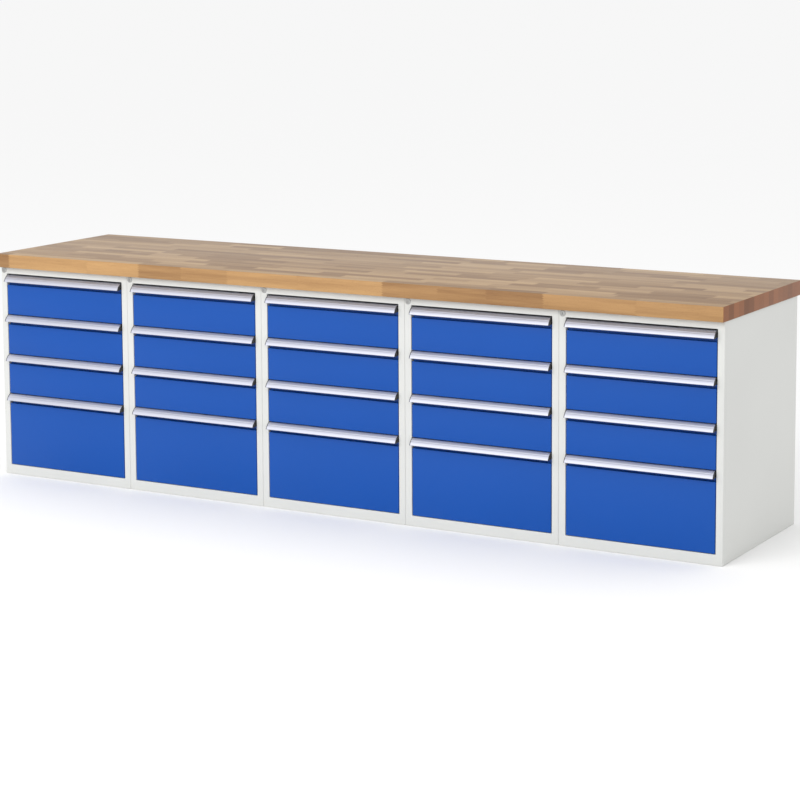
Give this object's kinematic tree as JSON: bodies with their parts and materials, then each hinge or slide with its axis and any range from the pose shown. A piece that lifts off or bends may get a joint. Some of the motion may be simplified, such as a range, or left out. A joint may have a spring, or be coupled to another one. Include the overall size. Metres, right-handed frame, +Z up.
{
  "type": "drawer workbench",
  "caption": "Long workbench: a thick beech worktop on a row of sheet-steel cabinets with blue drawers, aluminium grip handles and central locks.",
  "frame": {"origin": "on the floor, under the middle of the worktop", "axes": "+X along the bench to the right, as seen from the drawers; +Y to the back, so the drawers face -Y; +Z up"},
  "size_m": [2.908, 0.7, 0.84],
  "materials": {
    "beech": "oiled",
    "cabinet_grey": "fine powder coat",
    "front_blue": "fine powder coat",
    "aluminium": "satin anodised",
    "zinc_steel": "bright zinc plated",
    "lock_nickel": "nickel plated",
    "black_plastic": "fine grain"
  },
  "bodies": {
    "root": {"worktop": "beech", "drawer_runners": "zinc_steel", "lock_housings": "lock_nickel", "worktop_screws": "zinc_steel", "cabinet_bolts": "zinc_steel", "carcass_1": "cabinet_grey", "carcass_2": "cabinet_grey", "carcass_3": "cabinet_grey", "carcass_4": "cabinet_grey", "carcass_5": "cabinet_grey"},
    "lock_1": {"lock_plug_1": "lock_nickel"},
    "bar_1": {"lock_bar_1": "zinc_steel"},
    "drawer_1_1": {"drawer_1_1": "front_blue", "handle_1_1": "aluminium"},
    "drawer_1_2": {"drawer_1_2": "front_blue", "handle_1_2": "aluminium"},
    "drawer_1_3": {"drawer_1_3": "front_blue", "handle_1_3": "aluminium"},
    "drawer_1_4": {"drawer_1_4": "front_blue", "handle_1_4": "aluminium"},
    "lock_2": {"lock_plug_2": "lock_nickel"},
    "bar_2": {"lock_bar_2": "zinc_steel"},
    "drawer_2_1": {"drawer_2_1": "front_blue", "handle_2_1": "aluminium"},
    "drawer_2_2": {"drawer_2_2": "front_blue", "handle_2_2": "aluminium"},
    "drawer_2_3": {"drawer_2_3": "front_blue", "handle_2_3": "aluminium"},
    "drawer_2_4": {"drawer_2_4": "front_blue", "handle_2_4": "aluminium"},
    "lock_3": {"lock_plug_3": "lock_nickel"},
    "bar_3": {"lock_bar_3": "zinc_steel"},
    "drawer_3_1": {"drawer_3_1": "front_blue", "handle_3_1": "aluminium"},
    "drawer_3_2": {"drawer_3_2": "front_blue", "handle_3_2": "aluminium"},
    "drawer_3_3": {"drawer_3_3": "front_blue", "handle_3_3": "aluminium"},
    "drawer_3_4": {"drawer_3_4": "front_blue", "handle_3_4": "aluminium"},
    "lock_4": {"lock_plug_4": "lock_nickel"},
    "bar_4": {"lock_bar_4": "zinc_steel"},
    "drawer_4_1": {"drawer_4_1": "front_blue", "handle_4_1": "aluminium"},
    "drawer_4_2": {"drawer_4_2": "front_blue", "handle_4_2": "aluminium"},
    "drawer_4_3": {"drawer_4_3": "front_blue", "handle_4_3": "aluminium"},
    "drawer_4_4": {"drawer_4_4": "front_blue", "handle_4_4": "aluminium"},
    "lock_5": {"lock_plug_5": "lock_nickel"},
    "bar_5": {"lock_bar_5": "zinc_steel"},
    "drawer_5_1": {"drawer_5_1": "front_blue", "handle_5_1": "aluminium"},
    "drawer_5_2": {"drawer_5_2": "front_blue", "handle_5_2": "aluminium"},
    "drawer_5_3": {"drawer_5_3": "front_blue", "handle_5_3": "aluminium"},
    "drawer_5_4": {"drawer_5_4": "front_blue", "handle_5_4": "aluminium"}
  },
  "joints": [
    {"name": "lock_1_turn", "type": "hinge", "parent": "root", "child": "lock_1", "pos_m": [-1.4365, -0.315, 0.7765], "axis": [0, 1, 0], "range_deg": [0, 90]},
    {"name": "bar_1_lift", "type": "slide", "parent": "root", "child": "bar_1", "axis": [0, 0, 1], "range_m": [0, 0.0099]},
    {"name": "drawer_1_1_slide", "type": "slide", "parent": "root", "child": "drawer_1_1", "axis": [0, -1, 0], "range_m": [0, 0.44]},
    {"name": "drawer_1_2_slide", "type": "slide", "parent": "root", "child": "drawer_1_2", "axis": [0, -1, 0], "range_m": [0, 0.44]},
    {"name": "drawer_1_3_slide", "type": "slide", "parent": "root", "child": "drawer_1_3", "axis": [0, -1, 0], "range_m": [0, 0.44]},
    {"name": "drawer_1_4_slide", "type": "slide", "parent": "root", "child": "drawer_1_4", "axis": [0, -1, 0], "range_m": [0, 0.44]},
    {"name": "lock_2_turn", "type": "hinge", "parent": "root", "child": "lock_2", "pos_m": [-0.8565, -0.315, 0.7765], "axis": [0, 1, 0], "range_deg": [0, 90]},
    {"name": "bar_2_lift", "type": "slide", "parent": "root", "child": "bar_2", "axis": [0, 0, 1], "range_m": [0, 0.0099]},
    {"name": "drawer_2_1_slide", "type": "slide", "parent": "root", "child": "drawer_2_1", "axis": [0, -1, 0], "range_m": [0, 0.44]},
    {"name": "drawer_2_2_slide", "type": "slide", "parent": "root", "child": "drawer_2_2", "axis": [0, -1, 0], "range_m": [0, 0.44]},
    {"name": "drawer_2_3_slide", "type": "slide", "parent": "root", "child": "drawer_2_3", "axis": [0, -1, 0], "range_m": [0, 0.44]},
    {"name": "drawer_2_4_slide", "type": "slide", "parent": "root", "child": "drawer_2_4", "axis": [0, -1, 0], "range_m": [0, 0.44]},
    {"name": "lock_3_turn", "type": "hinge", "parent": "root", "child": "lock_3", "pos_m": [-0.2765, -0.315, 0.7765], "axis": [0, 1, 0], "range_deg": [0, 90]},
    {"name": "bar_3_lift", "type": "slide", "parent": "root", "child": "bar_3", "axis": [0, 0, 1], "range_m": [0, 0.0099]},
    {"name": "drawer_3_1_slide", "type": "slide", "parent": "root", "child": "drawer_3_1", "axis": [0, -1, 0], "range_m": [0, 0.44]},
    {"name": "drawer_3_2_slide", "type": "slide", "parent": "root", "child": "drawer_3_2", "axis": [0, -1, 0], "range_m": [0, 0.44]},
    {"name": "drawer_3_3_slide", "type": "slide", "parent": "root", "child": "drawer_3_3", "axis": [0, -1, 0], "range_m": [0, 0.44]},
    {"name": "drawer_3_4_slide", "type": "slide", "parent": "root", "child": "drawer_3_4", "axis": [0, -1, 0], "range_m": [0, 0.44]},
    {"name": "lock_4_turn", "type": "hinge", "parent": "root", "child": "lock_4", "pos_m": [0.3035, -0.315, 0.7765], "axis": [0, 1, 0], "range_deg": [0, 90]},
    {"name": "bar_4_lift", "type": "slide", "parent": "root", "child": "bar_4", "axis": [0, 0, 1], "range_m": [0, 0.0099]},
    {"name": "drawer_4_1_slide", "type": "slide", "parent": "root", "child": "drawer_4_1", "axis": [0, -1, 0], "range_m": [0, 0.44]},
    {"name": "drawer_4_2_slide", "type": "slide", "parent": "root", "child": "drawer_4_2", "axis": [0, -1, 0], "range_m": [0, 0.44]},
    {"name": "drawer_4_3_slide", "type": "slide", "parent": "root", "child": "drawer_4_3", "axis": [0, -1, 0], "range_m": [0, 0.44]},
    {"name": "drawer_4_4_slide", "type": "slide", "parent": "root", "child": "drawer_4_4", "axis": [0, -1, 0], "range_m": [0, 0.44]},
    {"name": "lock_5_turn", "type": "hinge", "parent": "root", "child": "lock_5", "pos_m": [0.8835, -0.315, 0.7765], "axis": [0, 1, 0], "range_deg": [0, 90]},
    {"name": "bar_5_lift", "type": "slide", "parent": "root", "child": "bar_5", "axis": [0, 0, 1], "range_m": [0, 0.0099]},
    {"name": "drawer_5_1_slide", "type": "slide", "parent": "root", "child": "drawer_5_1", "axis": [0, -1, 0], "range_m": [0, 0.44]},
    {"name": "drawer_5_2_slide", "type": "slide", "parent": "root", "child": "drawer_5_2", "axis": [0, -1, 0], "range_m": [0, 0.44]},
    {"name": "drawer_5_3_slide", "type": "slide", "parent": "root", "child": "drawer_5_3", "axis": [0, -1, 0], "range_m": [0, 0.44]},
    {"name": "drawer_5_4_slide", "type": "slide", "parent": "root", "child": "drawer_5_4", "axis": [0, -1, 0], "range_m": [0, 0.44]}
  ],
  "couplings": [
    {"joint": "lock_1_turn", "follows": "bar_1_lift", "rad_per_m": 158.67},
    {"joint": "lock_2_turn", "follows": "bar_2_lift", "rad_per_m": 158.67},
    {"joint": "lock_3_turn", "follows": "bar_3_lift", "rad_per_m": 158.67},
    {"joint": "lock_4_turn", "follows": "bar_4_lift", "rad_per_m": 158.67},
    {"joint": "lock_5_turn", "follows": "bar_5_lift", "rad_per_m": 158.67}
  ]
}
